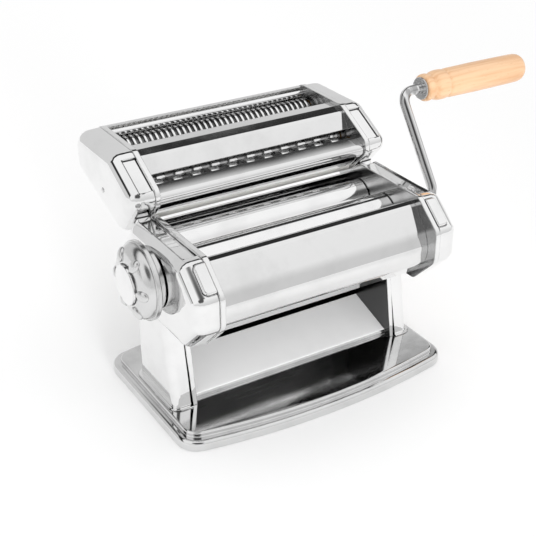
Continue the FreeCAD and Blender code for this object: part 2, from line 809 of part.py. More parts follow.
def knob_pad(axis, angle, x0, x1):
    # One grip lobe: a round-ended bar that lies along a radius of the knob.
    ends = []
    for radius in (knob_pad_inner, knob_pad_outer):
        ends.append((axis[0] + radius * math.cos(angle), axis[1] + radius * math.sin(angle)))
    side = (-math.sin(angle) * knob_pad_r, math.cos(angle) * knob_pad_r)
    corners = [(ends[0][0] + side[0], ends[0][1] + side[1]), (ends[1][0] + side[0], ends[1][1] + side[1]),
               (ends[1][0] - side[0], ends[1][1] - side[1]), (ends[0][0] - side[0], ends[0][1] - side[1])]
    bar = slab(corners, [0] * len(corners), x0, x1)
    return fused([bar] + [rod_x(x0, x1, end, knob_pad_r) for end in ends])


def make_knob():
    axis = (front_roller_y, roller_z)
    hub_x = face_x + knob_gap
    knob_x = hub_x + knob_collar
    make_knob_cam(axis, knob_x)
    shoulder = knob_x + knob_skirt
    top = knob_x + knob_dome

    def out(x, r):
        return Vector(-x, axis[0] + r, axis[1])

    shoulder_r = knob_r - knob_lip
    mid = out(shoulder + dome_mid_rise * (top - shoulder), knob_r - dome_mid_inset)
    profile = Part.Wire([
        Part.makePolygon([out(hub_x, 0), out(hub_x, knob_collar_r), out(knob_x, knob_collar_r),
                          out(knob_x, knob_r), out(shoulder, knob_r), out(shoulder, shoulder_r)]),
        Part.Arc(out(shoulder, shoulder_r), mid, out(top, knob_face_r)).toShape(),
        Part.makePolygon([out(top, knob_face_r), out(top, 0), out(hub_x, 0)])])
    body = Part.Face(profile).revolve(Vector(0, *axis), Vector(1, 0, 0), 360)
    pad_x = shoulder + knob_pad_rise * (top - shoulder)
    pads = [knob_pad(axis, 2 * math.pi * i / knob_pads, -shoulder + over, -pad_x) for i in range(knob_pads)]
    body = fused([body] + pads).cut(rod_x(-hub_x + over, -top - over, axis, spindle_r + fit_gap))
    keep("thickness_knob", body)
    keep("knob_cap", rod_x(-top, -top - knob_cap_t, axis, knob_face_r - knob_cap_inset))


# Crank and handle

def make_crank():
    axis = Vector(0, front_roller_y, roller_z)
    up = Vector(0, math.sin(lean), math.cos(lean))
    inner_x = shaft_end_x - socket_depth + socket_end_gap
    rod_end = handle_x + handle_bore_depth - socket_end_gap
    bend = crank_bend_r

    def at(x, u):
        return axis + Vector(x, 0, 0) + up * u

    mid = bend * (1 - math.sqrt(0.5))
    path = Part.Wire([
        Part.LineSegment(at(inner_x, 0), at(crank_arm_x - bend, 0)).toShape(),
        Part.Arc(at(crank_arm_x - bend, 0), at(crank_arm_x - mid, mid), at(crank_arm_x, bend)).toShape(),
        Part.LineSegment(at(crank_arm_x, bend), at(crank_arm_x, crank_length - bend)).toShape(),
        Part.Arc(at(crank_arm_x, crank_length - bend), at(crank_arm_x + mid, crank_length - mid),
                 at(crank_arm_x + bend, crank_length)).toShape(),
        Part.LineSegment(at(crank_arm_x + bend, crank_length), at(rod_end, crank_length)).toShape()])
    section = Part.Wire([Part.makeCircle(rod_r, at(inner_x, 0), Vector(1, 0, 0))])
    arm = path.makePipeShell([section], True, False)
    pin_x = shaft_end_x - pin_r
    pin_foot = Vector(pin_x, front_roller_y - journal_r, roller_z)
    keep("crank_arm", arm.cut(Part.makeCylinder(pin_r + fit_gap, 2 * journal_r, pin_foot, Vector(0, 1, 0))))
    keep("crank_pin", Part.makeCylinder(pin_r, 2 * journal_r, pin_foot, Vector(0, 1, 0)))
    grip = (handle_y, handle_z)
    washer_x = handle_x - washer_gap - washer_t
    washer = rod_x(washer_x, washer_x + washer_t, grip, washer_r)
    keep("handle_washer", washer.cut(rod_x(washer_x - over, handle_x, grip, rod_r + fit_gap)))

    def out(x, r):
        return Vector(handle_x + x, handle_y + r, handle_z)

    neck = Part.BSplineCurve()
    neck.interpolate([out(x, r) for x, r in handle_neck])
    first_x, first_r = handle_ring[-1]
    tip = [out(handle_length - x, r) for x, r in handle_end]
    wood = Part.Wire([
        Part.makePolygon([out(x, r) for x, r in handle_face]),
        neck.toShape(),
        Part.makePolygon([out(x, r) for x, r in handle_ring]),
        Part.Arc(out(first_x, first_r), out(handle_length / 2, handle_mid_r), tip[0]).toShape(),
        Part.Arc(*tip).toShape(),
        Part.makePolygon([tip[-1], out(handle_length, 0), out(0, 0)])])
    body = Part.Face(wood).revolve(Vector(0, *grip), Vector(1, 0, 0), 360)
    body = body.cut(rod_x(handle_x - over, handle_x + handle_bore_depth, grip, rod_r + running_gap))
    keep("wooden_handle", body)


# Cutter unit

def cutter_lug():
    # The lug that drops into the seat pocket of the head.
    top, bottom = seat_facet()
    run = math.hypot(bottom[0] - top[0], bottom[1] - top[1])
    low = seat_pocket - lug_play
    return facet_box(top, bottom, rim_x + lug_play, rim_x + pocket_width - lug_play, low - lug_length,
                     run - low, pocket_depth - lug_play, seat_gap + lug_root)


def make_cutter_frame():
    corners = cutter_points()
    pocket = (corners[3], corners[4], pocket_start, pocket_lower)
    shell = cover(corners, cutter_radii, [pocket])
    shell = fused([shell, cutter_lug()])
    right = shell
    for centre in (wide_front, fine_rear):
        right = right.cut(face_hole(centre, cutter_journal_r + cover_hole_gap))
    keep("cutter_right_cover", right)
    keep("cutter_left_cover", mirrored(shell))
    plate = slab(inset(corners, plate_margin), scaled(cutter_radii, plate_margin), inner_half, rim_x)
    centres = [wide_front, wide_rear, fine_front, fine_rear]
    ties = cutter_tie_places()
    holes = [(centre, cutter_journal_r + running_gap + bush_wall) for centre in centres]
    holes += [(place, cutter_spigot_r + fit_gap) for place in ties]
    for place, radius in holes:
        plate = plate.cut(rod_x(inner_half - over, rim_x + over, place, radius))
    keep("cutter_right_plate", plate)
    keep("cutter_left_plate", mirrored(plate))
    keep("cutter_bushes", *bushes(centres, cutter_journal_r))
    keep("cutter_tie_rods", *[tie_rod(place, cutter_tie_r, cutter_spigot_r, cutter_tie_r) for place in ties])


def cutter_tie_places():
    return [(wide_rear[0] + divider_tie[0], wide_rear[1] + divider_tie[1]),
            (fine_rear[0] + back_tie[0], fine_rear[1] + back_tie[1])]


def make_cutter_sheets():
    edge = inset(cutter_points(), hood_inset)
    chin = edge[4]
    front = [(cut_y + y, cut_z + z) for y, z in apron_path]
    for reach in apron_reach:
        front.append((chin[0] + reach * along[0], chin[1] + reach * along[1]))
    keep("cutter_front_plate", sheet(front, apron_bends, cutter_sheet, -inner_half, inner_half))
    back = [(edge[1][0], edge[1][1] + back_plate_low), edge[2],
            (edge[2][0] - back_plate_lip, edge[2][1] - back_plate_fall)]
    keep("cutter_back_plate", sheet(back, [0, back_plate_bend, 0], cutter_sheet, -inner_half, inner_half))
    roof = [(cut_y + y, cut_z + z) for y, z in divider_path]
    keep("cutter_divider", sheet(roof, divider_bends, cutter_sheet, -inner_half, inner_half))


def cutter_shape(centre, strip, discs, offset, driven):
    # Discs of one strip's width, with gaps of the same width for the discs of the other shaft.
    half = inner_half - roller_play
    start = -(2 * discs - 1) * strip / 2 + offset
    profile = [(-half, 0.0), (-half, groove_r)]
    for i in range(discs):
        x0 = start + 2 * strip * i + strip_play / 2
        x1 = x0 + strip - strip_play
        profile += [(x0, groove_r), (x0, cutter_r), (x1, cutter_r), (x1, groove_r)]
    profile += [(half, groove_r), (half, 0.0)]
    end = shaft_end_x if driven else gear_x + cutter_gear_width
    shape = fused([turned(profile, centre),
                   rod_x(-rim_x - bush_flange_t, -half, centre, cutter_journal_r),
                   rod_x(half, end, centre, cutter_journal_r)])
    if driven:
        for cutting in socket_cuts(centre, cutter_journal_r):
            shape = shape.cut(cutting)
    return shape


def comb(centre, strip, discs, offset, direction):
    # Fingers that stand in the gaps of one cutter and lift the strips off it.
    half = inner_half

    def polar(radius, degrees, across=0.0):
        angle = math.radians(degrees)
        return (centre[0] + radius * math.sin(angle) + across * math.cos(angle),
                centre[1] - radius * math.cos(angle) + across * math.sin(angle))

    near = groove_r + comb_gap
    far = cutter_r + comb_reach
    bar = [polar(far - comb_bar, direction, -comb_bar), polar(far + comb_bar, direction, -comb_bar),
           polar(far + comb_bar, direction, comb_bar), polar(far - comb_bar, direction, comb_bar)]
    finger = [polar(near, direction - comb_spread), polar(far, direction, -comb_bar / 2),
              polar(far, direction, comb_bar / 2), polar(near, direction + comb_spread)]
    shapes = [slab(bar, [0, 0, 0, 0], -half, half)]
    start = -(2 * discs - 1) * strip / 2 + offset
    width = strip - 2 * strip_play
    for i in range(discs - 1):
        x0 = start + strip + 2 * strip * i + strip_play
        shapes.append(slab(finger, [0, 0, 0, 0], x0, x0 + width))
    return shapes[0].multiFuse(shapes[1:])


def make_cutters():
    kinds = (("fine", fine_front, fine_rear, fine_strip, fine_discs, 0.0, "rear"),
             ("wide", wide_front, wide_rear, wide_strip, wide_discs, tilt, "front"))
    bore = cutter_journal_r + fit_gap
    width = cutter_gear_width
    for kind, front, rear, strip, discs, turn, driven in kinds:
        facing = turn + math.pi + math.pi / cutter_teeth
        pair = (("front", front, -strip / 2, turn), ("rear", rear, strip / 2, facing))
        for end, centre, offset, phase in pair:
            name = kind + "_" + end
            keep(name + "_cutter", cutter_shape(centre, strip, discs, offset, driven == end))
            keep(name + "_gear", gear(cutter_teeth, pair_distance, width, gear_x, centre, bore, phase))
            keep(name + "_comb", comb(centre, strip, discs, offset, comb_angles[name]))


def main():
    make_base()
    make_legs()
    make_chute()
    make_plates()
    make_covers()
    make_hoods()
    make_rollers()
    make_carriage()
    make_scrapers()
    make_knob()
    make_crank()
    make_cutter_frame()
    make_cutter_sheets()
    make_cutters()
    os.makedirs("parts", exist_ok=True)
    for name, shapes in solids.items():
        pieces = [piece for shape in shapes for piece in shape.Solids]
        shape = pieces[0] if len(pieces) == 1 else Part.makeCompound(pieces)
        shape.exportStep("parts/" + name + ".step")
        if len(pieces) != len(shapes) or not shape.isValid():
            print("look at", name, len(pieces), shape.isValid())
    print(len(solids), "nodes")


main()
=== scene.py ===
import json
import math
import bmesh
import bpy
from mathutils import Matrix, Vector


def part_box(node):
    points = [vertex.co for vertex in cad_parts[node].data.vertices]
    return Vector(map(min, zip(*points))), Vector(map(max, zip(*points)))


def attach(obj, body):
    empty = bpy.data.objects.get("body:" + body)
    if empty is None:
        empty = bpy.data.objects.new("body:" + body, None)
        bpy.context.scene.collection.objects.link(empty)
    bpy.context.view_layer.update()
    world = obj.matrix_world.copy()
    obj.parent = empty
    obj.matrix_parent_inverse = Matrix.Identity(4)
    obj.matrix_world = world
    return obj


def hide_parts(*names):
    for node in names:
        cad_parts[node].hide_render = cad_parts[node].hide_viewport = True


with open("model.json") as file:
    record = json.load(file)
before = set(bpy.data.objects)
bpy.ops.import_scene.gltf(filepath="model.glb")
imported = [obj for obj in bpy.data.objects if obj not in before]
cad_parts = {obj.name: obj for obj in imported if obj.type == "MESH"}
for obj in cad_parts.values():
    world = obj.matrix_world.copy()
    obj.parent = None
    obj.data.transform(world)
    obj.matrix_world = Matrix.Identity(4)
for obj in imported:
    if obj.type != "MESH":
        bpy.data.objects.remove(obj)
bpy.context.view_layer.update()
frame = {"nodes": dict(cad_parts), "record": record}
nodes = frame["nodes"]
scene = bpy.context.scene
scene.view_settings.view_transform = "Standard"
print("frame loaded:", len(nodes), "nodes")

nodeBody = {}
for bodyName, members in frame["record"]["behaviour"]["bodies"].items():
    for member in members:
        nodeBody[member] = bodyName


class Signal:
    # one output of a node tree; arithmetic on it adds Math nodes
    def __init__(self, net, socket):
        self.net = net
        self.socket = socket

    def __add__(self, other):
        return self.net.math("ADD", self, other)

    def __radd__(self, other):
        return self.net.math("ADD", other, self)

    def __sub__(self, other):
        return self.net.math("SUBTRACT", self, other)

    def __rsub__(self, other):
        return self.net.math("SUBTRACT", other, self)

    def __mul__(self, other):
        return self.net.math("MULTIPLY", self, other)

    def __rmul__(self, other):
        return self.net.math("MULTIPLY", other, self)

    def __truediv__(self, other):
        return self.net.math("DIVIDE", self, other)

    def __rtruediv__(self, other):
        return self.net.math("DIVIDE", other, self)


edgeSamples = 3
edgeTurn = (0.01, 0.10)  # how far the surface turns where an edge mask starts and is full


class NodeNet:
    def __init__(self, tree):
        self.tree = tree
        tree.nodes.clear()

    def feed(self, socket, value):
        if isinstance(value, Signal):
            self.tree.links.new(value.socket, socket)
        else:
            socket.default_value = value

    def node(self, kind, settings=None, sockets=None):
        made = self.tree.nodes.new(kind)
        for key, value in (settings or {}).items():
            setattr(made, key, value)
        for key, value in (sockets or {}).items():
            self.feed(made.inputs[key], value)
        return made

    def out(self, made, key=0):
        return Signal(self, made.outputs[key])

    def math(self, operation, *values):
        return self.out(self.node("ShaderNodeMath", {"operation": operation}, dict(enumerate(values))))

    def dot(self, first, last):
        product = self.node("ShaderNodeVectorMath", {"operation": "DOT_PRODUCT"}, {0: first, 1: last})
        return self.out(product, "Value")

    def place(self):
        return self.out(self.node("ShaderNodeTexCoord"), "Object")

    def axes(self, vector):
        split = self.node("ShaderNodeSeparateXYZ", None, {"Vector": vector})
        return [self.out(split, key) for key in ("X", "Y", "Z")]

    def stretch(self, vector, scale):
        return self.out(self.node("ShaderNodeMapping", None, {"Vector": vector, "Scale": scale}))

    def noise(self, vector, scale, detail, rough):
        return self.out(self.node("ShaderNodeTexNoise", None, {
            "Vector": vector, "Scale": scale, "Detail": detail, "Roughness": rough}))

    def grain(self, vector, stretch, detail, rough):
        # noise drawn out along one axis
        return self.noise(self.stretch(vector, stretch), 1.0, detail, rough)

    def ease(self, value, low, high, first=0.0, last=1.0):
        return self.out(self.node("ShaderNodeMapRange", {"interpolation_type": "SMOOTHSTEP"}, {
            "Value": value, "From Min": low, "From Max": high, "To Min": first, "To Max": last}))

    def blend(self, factor, first, last):
        return self.out(self.node("ShaderNodeMix", {"data_type": "RGBA"}, {0: factor, 6: first, 7: last}), 2)

    def bump(self, height, strength, distance):
        return self.out(self.node("ShaderNodeBump", None, {
            "Height": height, "Strength": strength, "Distance": distance}))

    def edges(self, reach):
        # near 1 where the surface turns within reach, 0 on flats and gentle curves
        rounded = self.out(self.node("ShaderNodeBevel", {"samples": edgeSamples}, {"Radius": reach}))
        flat = self.out(self.node("ShaderNodeNewGeometry"), "Normal")
        return self.ease(1.0 - self.dot(rounded, flat), *edgeTurn)

    def surface(self, sockets):
        shader = self.node("ShaderNodeBsdfPrincipled", None, sockets)
        self.node("ShaderNodeOutputMaterial", None, {"Surface": self.out(shader)})


def newFinish(name):
    material = bpy.data.materials.new(name)
    material.use_nodes = True
    return material, NodeNet(material.node_tree)


def grey(level):
    return (level, level, level, 1.0)


# a noise is scale or stretch, detail, roughness; a span is where its mask starts and is full;
# a bump is strength, distance in metres
mirrorChrome = {
    "colour": 0.87, "handled": 0.81, "worn": 0.28, "edge": 0.0007,
    "rough": 0.035, "smudge": 0.05, "wave": 0.10,
}
sheetChrome = {
    "colour": 0.81, "handled": 0.75, "worn": 0.26, "edge": 0.0006,
    "rough": 0.045, "smudge": 0.06, "wave": 0.12,
}
baseChrome = {
    "colour": 0.74, "handled": 0.66, "worn": 0.30, "edge": 0.0006,
    "rough": 0.07, "smudge": 0.06, "wave": 0.12,
}
knobChrome = {
    "colour": 0.70, "handled": 0.60, "worn": 0.26, "edge": 0.0006,
    "rough": 0.22, "smudge": 0.10, "wave": 0.05,
}
plating = {
    "smudgeNoise": (34.0, 4.0, 0.6), "smudgeSpan": (0.42, 0.72),
    "waveNoise": (22.0, 1.0, 0.4), "waveDepth": 0.0012,
    "edgeNoise": (90.0, 3.0, 0.6), "edgeSpan": (0.30, 0.55), "rubRough": 0.10,
}


def makeChrome(name, spec):
    # plating with fingermarks, a slight wave, and darker edges: partly wear through to the darker coat
    # below, partly painted dark reflection lines along the edges
    material, net = newFinish(name)
    place = net.place()
    smudge = net.ease(net.noise(place, *plating["smudgeNoise"]), *plating["smudgeSpan"])
    wave = net.noise(place, *plating["waveNoise"])
    # edge mask broken by noise: wear, and painted dark reflection along every edge
    edgeWearAndShade = net.edges(spec["edge"]) * net.ease(net.noise(place, *plating["edgeNoise"]), *plating["edgeSpan"])
    plated = net.blend(smudge, grey(spec["colour"]), grey(spec["handled"]))
    net.surface({
        "Base Color": net.blend(edgeWearAndShade, plated, grey(spec["worn"])),
        "Metallic": 1.0,
        "Roughness": spec["rough"] + smudge * spec["smudge"] + edgeWearAndShade * plating["rubRough"],
        "Normal": net.bump(wave, spec["wave"], plating["waveDepth"]),
    })
    return material


# lean is the crank's own lean at rest, so that the streaks follow its arm
rodChrome = {
    "colour": 0.80, "worn": 0.42, "lean": math.radians(35.5), "rough": 0.07, "smudge": 0.08,
    "streakNoise": ((330.0, 330.0, 2.0), 1.0, 0.5), "streakSpan": (0.46, 0.60), "streakRough": 0.06,
    "streakBump": (0.04, 0.0002), "smudgeNoise": (60.0, 3.0, 0.6), "smudgeSpan": (0.42, 0.72),
}


def makeDrawn(name, spec):
    # bar drawn through a die: lengthwise dark streaks, partly die marks and partly painted reflection of
    # dark surroundings along the rod
    material, net = newFinish(name)
    place = net.place()
    along = net.out(net.node("ShaderNodeMapping", None, {
        "Vector": place, "Rotation": (spec["lean"], 0.0, 0.0)}))
    streaks = net.ease(net.grain(along, *spec["streakNoise"]), *spec["streakSpan"])
    smudge = net.ease(net.noise(place, *spec["smudgeNoise"]), *spec["smudgeSpan"])
    net.surface({
        # the streaks darken the colour: partly die marks, partly painted reflection
        "Base Color": net.blend(streaks, grey(spec["colour"]), grey(spec["worn"])),
        "Metallic": 1.0,
        "Roughness": spec["rough"] + smudge * spec["smudge"] + streaks * spec["streakRough"],
        "Normal": net.bump(streaks, *spec["streakBump"]),
    })
    return material


rollerSteel = {"colour": 0.90, "handled": 0.82, "rough": 0.07, "smudge": 0.05, "turning": 0.05}
landSteel = {"colour": 0.93, "handled": 0.84, "rough": 0.14, "smudge": 0.06, "turning": 0.08}
# cutter discs under the bright lands: painted shade in the grooves between them, darkest on the fine cutters
grooveShadeSteel = {"colour": 0.24, "handled": 0.15, "rough": 0.30, "smudge": 0.10, "turning": 0.10}
wideGrooveShadeSteel = {"colour": 0.60, "handled": 0.48, "rough": 0.24, "smudge": 0.10, "turning": 0.10}
gearSteel = {"colour": 0.70, "handled": 0.58, "rough": 0.20, "smudge": 0.10, "turning": 0.10}
ferruleSteel = {"colour": 0.58, "handled": 0.42, "rough": 0.20, "smudge": 0.12, "turning": 0.06}
turning = {
    "ringNoise": ((2600.0, 20.0, 20.0), 2.0, 0.6), "ringRough": 0.5, "ringDepth": 0.0001,
    "smudgeNoise": (40.0, 3.0, 0.55), "smudgeSpan": (0.40, 0.75),
}


def makeTurned(name, spec):
    # fine rings left by the lathe, close together along the shaft
    material, net = newFinish(name)
    place = net.place()
    rings = net.grain(place, *turning["ringNoise"])
    smudge = net.ease(net.noise(place, *turning["smudgeNoise"]), *turning["smudgeSpan"])
    ringRough = rings * spec["turning"] * turning["ringRough"]
    net.surface({
        "Base Color": net.blend(smudge, grey(spec["colour"]), grey(spec["handled"])),
        "Metallic": 1.0,
        "Roughness": spec["rough"] + smudge * spec["smudge"] + ringRough,
        "Normal": net.bump(rings, spec["turning"], turning["ringDepth"]),
    })
    return material


chuteSheet = {"colour": 0.90, "handled": 0.86, "metal": 0.10, "rough": 0.42, "smudge": 0.08, "grain": 0.06}
# near-black sheet: painted shade on the wall behind the chute and on the knob's bracket
shadowSteel = {"colour": 0.13, "handled": 0.09, "metal": 1.0, "rough": 0.24, "smudge": 0.10, "grain": 0.08}
rolling = {
    "grainNoise": ((14.0, 900.0, 900.0), 3.0, 0.6), "grainBump": (0.12, 0.0001),
    "smudgeNoise": (26.0, 4.0, 0.6), "smudgeSpan": (0.40, 0.74),
}


def makeSatin(name, spec):
    # rolled sheet with its grain across the machine
    material, net = newFinish(name)
    place = net.place()
    grain = net.grain(place, *rolling["grainNoise"])
    smudge = net.ease(net.noise(place, *rolling["smudgeNoise"]), *rolling["smudgeSpan"])
    net.surface({
        "Base Color": net.blend(smudge, grey(spec["colour"]), grey(spec["handled"])),
        "Metallic": spec["metal"],
        "Roughness": spec["rough"] + smudge * spec["smudge"] + grain * spec["grain"],
        "Normal": net.bump(grain, *rolling["grainBump"]),
    })
    return material


# the foot is below the head, and heights are in metres
innerSheet = {
    "head": 0.56, "foot": 0.10, "footSpan": (0.062, 0.072),
    "rough": 0.14, "smudge": 0.10, "smudgeShare": 0.35,
    "brushNoise": ((900.0, 700.0, 12.0), 3.0, 0.6), "brushRough": 0.06, "brushBump": (0.10, 0.0001),
    "smudgeNoise": (30.0, 4.0, 0.6), "smudgeSpan": (0.40, 0.74),
}


def makeInner(name, spec):
    # plate between the shafts, brushed upright; painted darker than the chrome as painted shade under the
    # head, and near black at its foot as painted shadow
    material, net = newFinish(name)
    place = net.place()
    brush = net.grain(place, *spec["brushNoise"])
    smudge = net.ease(net.noise(place, *spec["smudgeNoise"]), *spec["smudgeSpan"])
    height = net.axes(place)[2]
    # painted shadow: the colour darkens towards the foot, below the head
    outOfShade = net.ease(height, *spec["footSpan"])
    tone = net.blend(outOfShade, grey(spec["foot"]), grey(spec["head"]))
    net.surface({
        "Base Color": net.blend(smudge * spec["smudgeShare"], tone, grey(spec["foot"])),
        "Metallic": 1.0,
        "Roughness": spec["rough"] + smudge * spec["smudge"] + brush * spec["brushRough"],
        "Normal": net.bump(brush, *spec["brushBump"]),
    })
    return material


beechWood = {
    "pale": (0.92, 0.61, 0.37, 1.0), "dark": (0.77, 0.44, 0.23, 1.0), "fleck": (0.58, 0.30, 0.14, 1.0),
    "rough": 0.34, "bandRough": 0.10, "lacquer": 0.22, "fleckLacquer": 0.1,
    "driftNoise": ((9.0, 55.0, 55.0), 3.0, 0.55), "ringNoise": ((12.0, 420.0, 150.0), 3.0, 0.6),
    "ringShare": 0.7, "driftShare": 0.3, "bandSpan": (0.36, 0.66),
    "fleckNoise": ((260.0, 1500.0, 1500.0), 1.0, 0.5), "fleckSpan": (0.66, 0.78), "fleckShare": 0.45,
    "ringRise": 0.4, "fleckSink": 0.5, "bump": (0.12, 0.0003),
}


def makeBeech(name, spec):
    # growth rings run along the handle, with short ray flecks between them
    material, net = newFinish(name)
    place = net.place()
    drift = net.grain(place, *spec["driftNoise"])
    rings = net.grain(place, *spec["ringNoise"])
    flecks = net.ease(net.grain(place, *spec["fleckNoise"]), *spec["fleckSpan"])
    band = net.ease(rings * spec["ringShare"] + drift * spec["driftShare"], *spec["bandSpan"])
    wood = net.blend(band, spec["pale"], spec["dark"])
    height = rings * spec["ringRise"] - flecks * spec["fleckSink"]
    net.surface({
        "Base Color": net.blend(flecks * spec["fleckShare"], wood, spec["fleck"]),
        "Roughness": spec["rough"] + band * spec["bandRough"],
        "Coat Weight": spec["lacquer"] - flecks * spec["fleckLacquer"],
        "Normal": net.bump(height, *spec["bump"]),
    })
    return material


combPlastic = {"colour": (0.80, 0.79, 0.76, 1.0), "shade": (0.70, 0.69, 0.66, 1.0), "rough": 0.38}
# near-black beads laid along creases, the cutter's top hem and the knob cap's edge: painted shade
seamShadow = {"colour": (0.012, 0.012, 0.013, 1.0), "shade": (0.03, 0.03, 0.03, 1.0), "rough": 0.55}
moulding = {
    "mottleNoise": (120.0, 3.0, 0.6), "mottleRough": 0.12,
    "skinNoise": (2400.0, 2.0, 0.5), "skinBump": (0.10, 0.00006),
}


def makeMoulded(name, spec):
    # faint flow mottling and a fine skin
    material, net = newFinish(name)
    place = net.place()
    mottle = net.noise(place, *moulding["mottleNoise"])
    skin = net.noise(place, *moulding["skinNoise"])
    net.surface({
        "Base Color": net.blend(mottle, spec["colour"], spec["shade"]),
        "Roughness": spec["rough"] + mottle * moulding["mottleRough"],
        "Normal": net.bump(skin, *moulding["skinBump"]),
    })
    return material


bearingBronze = {
    "bright": (0.62, 0.42, 0.18, 1.0), "tarnished": (0.34, 0.21, 0.09, 1.0),
    "rough": 0.28, "tarnishRough": 0.25,
    "tarnishNoise": (140.0, 4.0, 0.6), "tarnishSpan": (0.42, 0.7), "tarnishBump": (0.08, 0.0001),
}


def makeBronze(name, spec):
    material, net = newFinish(name)
    place = net.place()
    tarnish = net.ease(net.noise(place, *spec["tarnishNoise"]), *spec["tarnishSpan"])
    net.surface({
        "Base Color": net.blend(tarnish, spec["bright"], spec["tarnished"]),
        "Metallic": 1.0,
        "Roughness": spec["rough"] + tarnish * spec["tarnishRough"],
        "Normal": net.bump(tarnish, *spec["tarnishBump"]),
    })
    return material


finishes = {
    "chrome": makeChrome("mirrorChrome", mirrorChrome),
    "sheet": makeChrome("sheetChrome", sheetChrome),
    "base": makeChrome("baseChrome", baseChrome),
    "knob": makeChrome("knobChrome", knobChrome),
    "roller": makeTurned("rollerSteel", rollerSteel),
    "rod": makeDrawn("drawnRod", rodChrome),
    "land": makeTurned("landSteel", landSteel),
    "groove": makeTurned("grooveShadeSteel", grooveShadeSteel),
    "wideGroove": makeTurned("wideGrooveShadeSteel", wideGrooveShadeSteel),
    "gear": makeTurned("gearSteel", gearSteel),
    "ferrule": makeTurned("ferruleSteel", ferruleSteel),
    "chute": makeSatin("chuteSheet", chuteSheet),
    "inner": makeInner("innerSheet", innerSheet),
    "shadow": makeSatin("shadowSteel", shadowSteel),
    "beech": makeBeech("turnedBeech", beechWood),
    "comb": makeMoulded("combPlastic", combPlastic),
    "bronze": makeBronze("bearingBronze", bearingBronze),
    "seam": makeMoulded("seamShadow", seamShadow),
}
print("finishes made:", len(finishes))

# node: finish, edge radius in metres
dressed = {
    "base_plate": ("base", 0.0005),
    "left_leg": ("chrome", 0.0006),
    "right_leg": ("chrome", 0.0006),
    "dough_chute": ("chute", 0.0003),
    "rear_panel": ("sheet", 0.0003),
    "left_side_plate": ("chrome", 0.0005),
    "right_side_plate": ("chrome", 0.0005),
    "left_cover": ("chrome", 0.0009),
    "right_cover": ("chrome", 0.0009),
    "front_plate": ("sheet", 0.0003),
    "rear_plate": ("sheet", 0.0003),
    "front_scraper": ("chrome", 0.0002),
    "rear_scraper": ("chrome", 0.0002),
    "tie_rods": ("roller", 0.0003),
    "carriage_bar": ("roller", 0.0003),
    "front_roller": ("roller", 0.0005),
    "rear_roller": ("roller", 0.0005),
    "knob_cap": ("chrome", 0.0005),
    "crank_arm": ("rod", 0.0003),
    "crank_pin": ("roller", 0.0003),
    "handle_washer": ("ferrule", 0.0004),
    "cutter_left_cover": ("chrome", 0.0006),
    "cutter_right_cover": ("chrome", 0.0006),
    "cutter_left_plate": ("chrome", 0.0005),
    "cutter_right_plate": ("chrome", 0.0005),
    "cutter_front_plate": ("sheet", 0.0003),
    "cutter_back_plate": ("sheet", 0.0003),
    "cutter_divider": ("sheet", 0.0003),
    "cutter_tie_rods": ("roller", 0.0003),
    "fine_front_comb": ("comb", 0.0),
    "fine_rear_comb": ("comb", 0.0),
    "wide_front_comb": ("comb", 0.0),
    "wide_rear_comb": ("comb", 0.0),
    "fine_front_cutter": ("groove", 0.0002),
    "fine_rear_cutter": ("groove", 0.0002),
    "wide_front_cutter": ("wideGroove", 0.0003),
    "wide_rear_cutter": ("wideGroove", 0.0003),
}
# nodes that keep their own mesh
kept = {
    "front_roller_bushes": "bronze",
    "cutter_bushes": "bronze",
    "left_slide_block": "roller",
    "right_slide_block": "roller",
    "foot_screws": "roller",
    # painted shade behind the knob
    "knob_bracket": "shadow",
    "knob_cam": "roller",
    "front_roller_gear": "gear",
    "rear_roller_gear": "gear",
    "fine_front_gear": "gear",
    "fine_rear_gear": "gear",
    "wide_front_gear": "gear",
    "wide_rear_gear": "gear",
}
# faces that look this way have another finish: the inner sides of the end plates, painted darker as painted
# shade, the wall behind the chute, painted near black as painted shade, and the chute's front lip
otherFaces = {
    "left_side_plate": ("inner", (1.0, 0.0, 0.0)),
    "right_side_plate": ("inner", (-1.0, 0.0, 0.0)),
    "cutter_left_plate": ("inner", (1.0, 0.0, 0.0)),
    "cutter_right_plate": ("inner", (-1.0, 0.0, 0.0)),
    "rear_panel": ("shadow", (0.0, -1.0, 0.0)),
    "dough_chute": ("base", (0.0, -1.0, 0.0)),
}
# distances in metres, angles in degrees
meshing = {
    "weld": 2e-6, "flatWithin": 0.5, "bevelFrom": 35.0, "bevelSegments": 2, "sharpFrom": 38.0,
    "looksWithin": 0.7, "flatWeight": 80,
}


def pieceName(nodeName):
    words = nodeName.split("_")
    return words[0] + "".join(word.capitalize() for word in words[1:])


def linkPiece(name, mesh):
    piece = bpy.data.objects.new(name, mesh)
    scene.collection.objects.link(piece)
    return piece


def bake(piece):
    # modifiers become plain mesh data
    graph = bpy.context.evaluated_depsgraph_get()
    mesh = bpy.data.meshes.new_from_object(piece.evaluated_get(graph))
    old = piece.data
    piece.modifiers.clear()
    piece.data = mesh
    bpy.data.meshes.remove(old)
    return mesh


def weldedNode(nodeName):
    # a node's loose triangles joined into whole faces
    work = bmesh.new()
    work.from_mesh(nodes[nodeName].data)
    bmesh.ops.remove_doubles(work, verts=work.verts, dist=meshing["weld"])
    bmesh.ops.dissolve_limit(
        work, angle_limit=math.radians(meshing["flatWithin"]), verts=work.verts, edges=work.edges)
    return work


